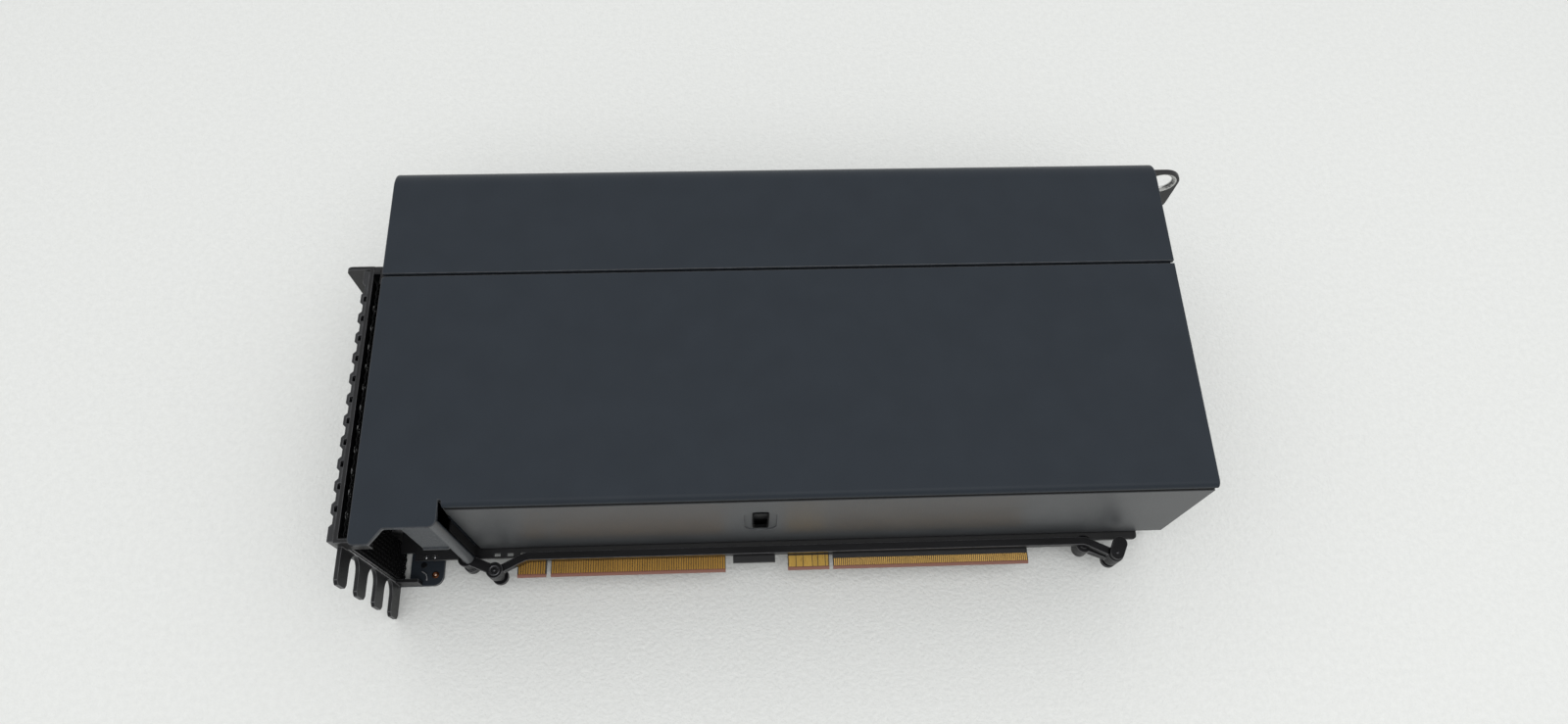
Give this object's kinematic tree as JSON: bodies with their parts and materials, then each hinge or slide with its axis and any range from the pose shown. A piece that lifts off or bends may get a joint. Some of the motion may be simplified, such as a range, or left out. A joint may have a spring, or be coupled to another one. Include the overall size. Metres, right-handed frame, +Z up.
{
  "type": "graphics card module",
  "caption": "Wide passive graphics card module in a smooth dark shell, with a card-edge connector, an extended power and data edge, a slot bracket and a lever-linked ejector bar.",
  "frame": {"origin": "middle of the housing's length and depth, on the bottom face that it lies on", "axes": "+X from the slot bracket to the front end, +Y from the edge connectors to the outboard side, +Z up, from the solder side to the cooler side"},
  "size_m": [0.3452, 0.1696, 0.0812],
  "materials": {
    "anodised_shell": "fine bead-blasted, dark anodised",
    "anodised_wall": "fine bead-blasted, dark anodised",
    "black_sheet": "black anodised",
    "bracket_steel": "black plated, satin",
    "lattice_metal": "milled, black anodised",
    "socket_steel": "drawn and plated",
    "black_moulding": "moulded",
    "board": "black solder mask",
    "gold": "plated",
    "chip": "moulded",
    "substrate": "laminate",
    "silicon": "polished",
    "pad": "soft",
    "ferrite": "pressed powder",
    "copper": "rolled",
    "fin_aluminium": "rolled, black coated",
    "dark_steel": "black oxide",
    "screw_steel": "plated"
  },
  "bodies": {
    "module": {"main_cover": "anodised_shell", "outboard_cover": "anodised_shell", "bottom_cover": "anodised_shell", "side_wall": "anodised_wall", "front_ear": "black_sheet", "top_seam_strip": "black_sheet", "bottom_seam_strip": "black_sheet", "io_bracket": "bracket_steel", "vent_lattice": "lattice_metal", "data_ports": "socket_steel", "video_port": "socket_steel", "port_tongues": "black_moulding", "circuit_board": "board", "x16_contacts": "gold", "power_contacts": "gold", "fine_contacts": "gold", "memory_chips": "chip", "power_transistors": "chip", "capacitors": "chip", "processor_substrate": "substrate", "processor_die": "silicon", "memory_pads": "pad", "inductors": "ferrite", "vapour_chamber": "copper", "fin_stack": "fin_aluminium", "processor_brace": "dark_steel", "edge_rail": "dark_steel", "brace_screws": "screw_steel", "board_screws": "screw_steel", "ear_screws": "screw_steel", "standoffs": "screw_steel"},
    "rear_link": {"rear_link": "dark_steel"},
    "eject_bar": {"eject_bar": "dark_steel", "drive_lug": "dark_steel"},
    "front_link": {"front_link": "dark_steel"}
  },
  "joints": [
    {"name": "rear_swing", "type": "hinge", "parent": "module", "child": "rear_link", "pos_m": [-0.13055, -0.0777, 0.02272], "axis": [0, 0, 1], "range_deg": [-55, 0]},
    {"name": "bar_swing", "type": "hinge", "parent": "rear_link", "child": "eject_bar", "pos_m": [-0.11895, -0.08274, 0.02272], "axis": [0, 0, 1], "range_deg": [0, 55]},
    {"name": "front_swing", "type": "hinge", "parent": "module", "child": "front_link", "pos_m": [0.12405, -0.0777, 0.01577], "axis": [0, 0, 1], "range_deg": [-55, 0]}
  ],
  "couplings": [
    {"joint": "bar_swing", "follows": "rear_swing", "ratio": -1},
    {"joint": "front_swing", "follows": "rear_swing", "ratio": 1}
  ]
}
